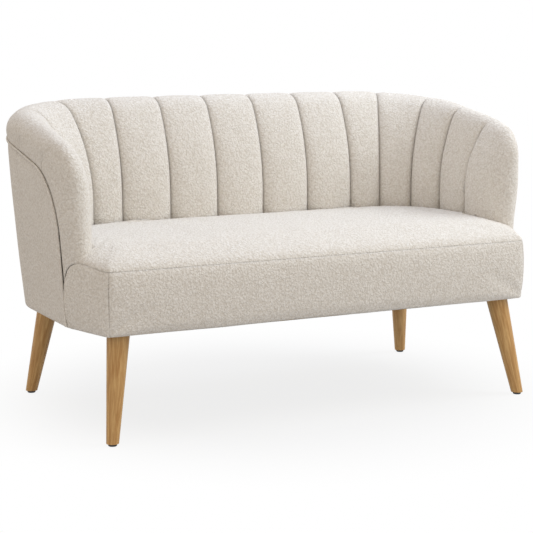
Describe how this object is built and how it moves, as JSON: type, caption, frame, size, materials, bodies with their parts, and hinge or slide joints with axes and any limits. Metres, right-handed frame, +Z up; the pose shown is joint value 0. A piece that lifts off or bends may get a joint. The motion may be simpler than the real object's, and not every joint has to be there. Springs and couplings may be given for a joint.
{
  "type": "curved loveseat",
  "caption": "Curved two-seat sofa: channelled back wraps round into rounded arms, tight crowned seat, cream looped cloth, splayed tapered oak legs with black glides",
  "frame": {"origin": "on the floor, under the middle of the whole object", "axes": "+X to the right of someone standing in front and looking at it, +Y from the seat front to the back, +Z up"},
  "size_m": [1.2936, 0.6524, 0.76],
  "materials": {
    "boucle": "nubby looped cream cloth over padding",
    "oak": "clear matt lacquer on natural oak",
    "black_nylon": "moulded black nylon",
    "zinc_steel": "zinc plated",
    "frame_wood": "planed, unfinished",
    "frame_plywood": "sawn plywood, unfinished",
    "webbing": "woven polypropylene and rubber",
    "hessian": "open woven jute",
    "felt": "pressed grey felt",
    "foam": "open-cell seat foam",
    "dust_cloth": "thin black non-woven cloth"
  },
  "bodies": {
    "root": {"outside_arm_right": "boucle", "outside_arm_left": "boucle", "outside_back": "boucle", "outside_welt": "boucle", "back_channel_middle": "boucle", "back_channel_1_right": "boucle", "back_channel_1_left": "boucle", "back_channel_2_right": "boucle", "back_channel_2_left": "boucle", "back_channel_3_right": "boucle", "back_channel_3_left": "boucle", "back_channel_4_right": "boucle", "back_channel_4_left": "boucle", "back_channel_5_right": "boucle", "back_channel_5_left": "boucle", "back_channel_6_right": "boucle", "back_channel_6_left": "boucle", "arm_end_pad_right": "boucle", "arm_end_pad_left": "boucle", "seat_top_cover": "boucle", "seat_front_border": "boucle", "seat_side_border_right": "boucle", "seat_side_border_left": "boucle", "leg_front_right": "oak", "leg_front_left": "oak", "leg_rear_right": "oak", "leg_rear_left": "oak", "leg_glides": "black_nylon", "hanger_bolts": "zinc_steel", "t_nuts": "zinc_steel", "front_rail": "frame_wood", "back_rail": "frame_wood", "side_rail_right": "frame_wood", "side_rail_left": "frame_wood", "centre_rail": "frame_wood", "front_corner_block_right": "frame_wood", "front_corner_block_left": "frame_wood", "rear_corner_block_right": "frame_wood", "rear_corner_block_left": "frame_wood", "arm_post_front_right": "frame_wood", "arm_post_front_left": "frame_wood", "arm_post_rear_right": "frame_wood", "arm_post_rear_left": "frame_wood", "top_rail": "frame_wood", "arm_panel_right": "frame_plywood", "arm_panel_left": "frame_plywood", "back_rib_inner_right": "frame_plywood", "back_rib_inner_left": "frame_plywood", "back_rib_outer_right": "frame_plywood", "back_rib_outer_left": "frame_plywood", "top_corner_bow_right": "frame_plywood", "top_corner_bow_left": "frame_plywood", "seat_webbing_long": "webbing", "seat_webbing_cross": "webbing", "inside_hessian": "hessian", "deck_felt": "felt", "seat_foam": "foam", "dust_cover": "dust_cloth"}
  },
  "joints": []
}
